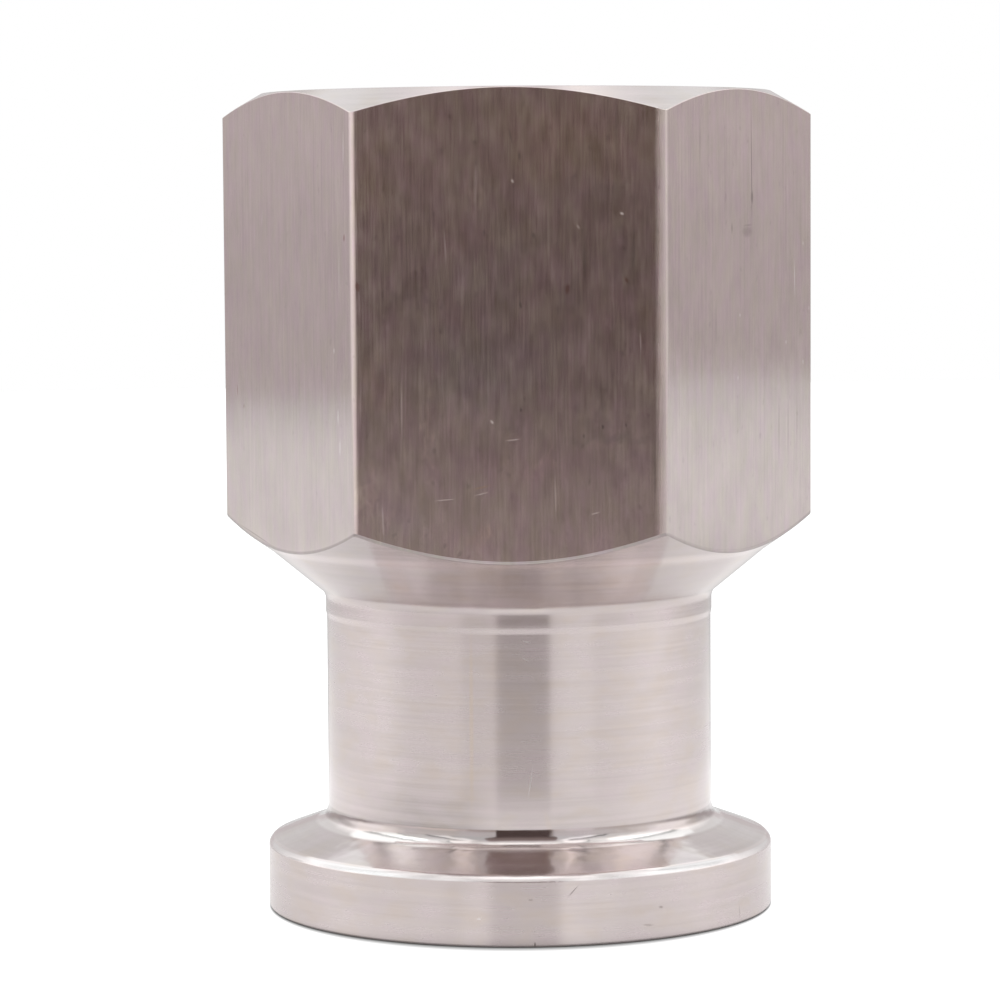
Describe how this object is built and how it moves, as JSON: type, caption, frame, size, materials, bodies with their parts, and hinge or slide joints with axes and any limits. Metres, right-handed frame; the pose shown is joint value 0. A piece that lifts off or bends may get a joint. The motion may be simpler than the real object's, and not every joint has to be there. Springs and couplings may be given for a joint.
{
  "type": "sanitary clamp adapter",
  "caption": "One-piece stainless adapter: clamp ferrule flange, plain neck, coned shoulder and a hexagon head with a female pipe thread.",
  "frame": {"origin": "centre of the ferrule's gasket face, which it stands on", "axes": "+Z along the bore from the ferrule face to the threaded end; a hexagon flat faces -Y and another +Y; two long corners lie on the X axis"},
  "size_m": [0.0292, 0.0254, 0.0405],
  "materials": {
    "steel": "turned and drawn stainless, satin, lightly marked"
  },
  "bodies": {
    "root": {"adapter_body": "steel"}
  },
  "joints": []
}
